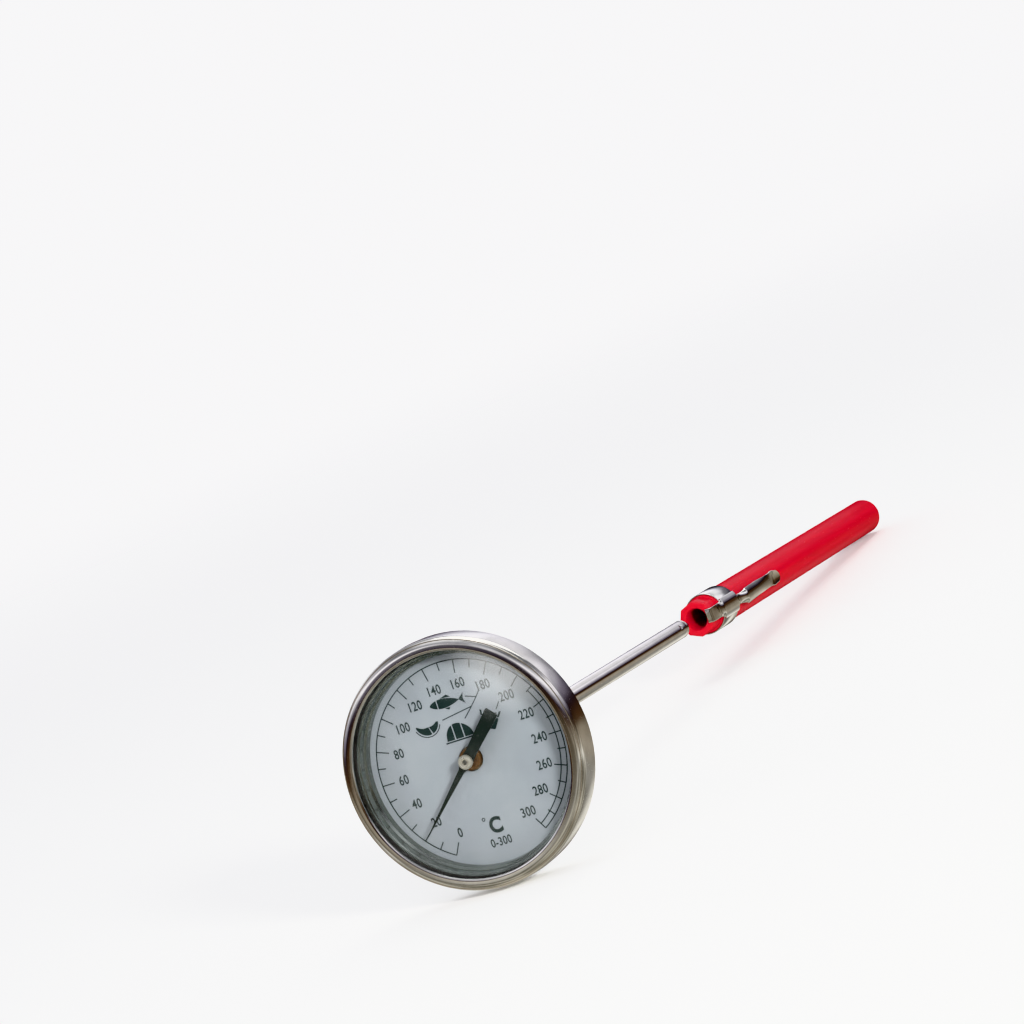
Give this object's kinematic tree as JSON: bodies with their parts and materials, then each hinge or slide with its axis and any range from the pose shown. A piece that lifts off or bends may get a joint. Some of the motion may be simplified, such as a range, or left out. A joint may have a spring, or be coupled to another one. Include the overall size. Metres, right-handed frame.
{
  "type": "dial thermometer",
  "caption": "Pocket dial thermometer: round steel head with a printed dial and a pointer, hex nut, pointed probe stem, and a push-on plastic sheath with a spring clip.",
  "frame": {"origin": "the stem's tip, on the stem's axis, which is also the middle of the overall length with the sheath drawn off", "axes": "the dial faces -Y, the stem points to +Y, and the dial's 150 mark points to +Z"},
  "size_m": [0.051, 0.2806, 0.051],
  "materials": {
    "polished_steel": "polished stainless steel, fine turning lines and small scratches",
    "stem_steel": "polished stainless steel, fine draw lines along the tube",
    "inner_wall": "bright turned aluminium",
    "lens_glass": "clear flat window",
    "gasket_rubber": "matt black",
    "dial_print": "pale blue-grey lacquer with dark printed scale",
    "nickel_plate": "nickel plate, softly polished",
    "spring_steel": "bare spring steel",
    "brass": "dull turned brass",
    "white_plastic": "white low-friction plastic",
    "pointer_black": "satin black paint",
    "bimetal": "rolled bimetal strip",
    "sheath_plastic": "glossy moulded red plastic",
    "clip_chrome": "chrome plate on pressed spring sheet"
  },
  "bodies": {
    "stem": {"hex_nut": "nickel_plate", "stem_neck": "nickel_plate", "friction_washer": "spring_steel", "retaining_clip": "spring_steel", "stem_tube": "stem_steel", "stem_tip": "stem_steel", "bearing_bush": "brass", "upper_guide_bush": "white_plastic", "lower_guide_bush": "white_plastic", "coil_anchor": "brass"},
    "head": {"bezel_ring": "polished_steel", "case_cup": "polished_steel", "lens": "lens_glass", "lens_gasket": "gasket_rubber", "spacer_ring": "inner_wall", "dial_plate": "dial_print"},
    "pointer": {"pointer_blade": "pointer_black", "pointer_hub": "nickel_plate", "pointer_shaft": "spring_steel", "bimetal_coil": "bimetal"},
    "sheath": {"sheath_tube": "sheath_plastic", "clip_band": "clip_chrome"},
    "clip": {"clip_arm": "clip_chrome"}
  },
  "joints": [
    {"name": "pointer_turn", "type": "hinge", "parent": "stem", "child": "pointer", "pos_m": [0, -0.137, 0], "axis": [0, 1, 0], "range_deg": [-18, 282]},
    {"name": "head_calibration", "type": "hinge", "parent": "stem", "child": "head", "pos_m": [0, -0.1324, 0], "axis": [0, 1, 0], "continuous": true},
    {"name": "sheath_slide", "type": "slide", "parent": "stem", "child": "sheath", "axis": [0, -1, 0], "range_m": [0, 0.1325]},
    {"name": "clip_flex", "type": "hinge", "parent": "sheath", "child": "clip", "pos_m": [0.0048, 0.0229, 0], "axis": [0, 0, -1], "range_deg": [0, 5], "stiffness_Nm_per_rad": 0.002}
  ]
}
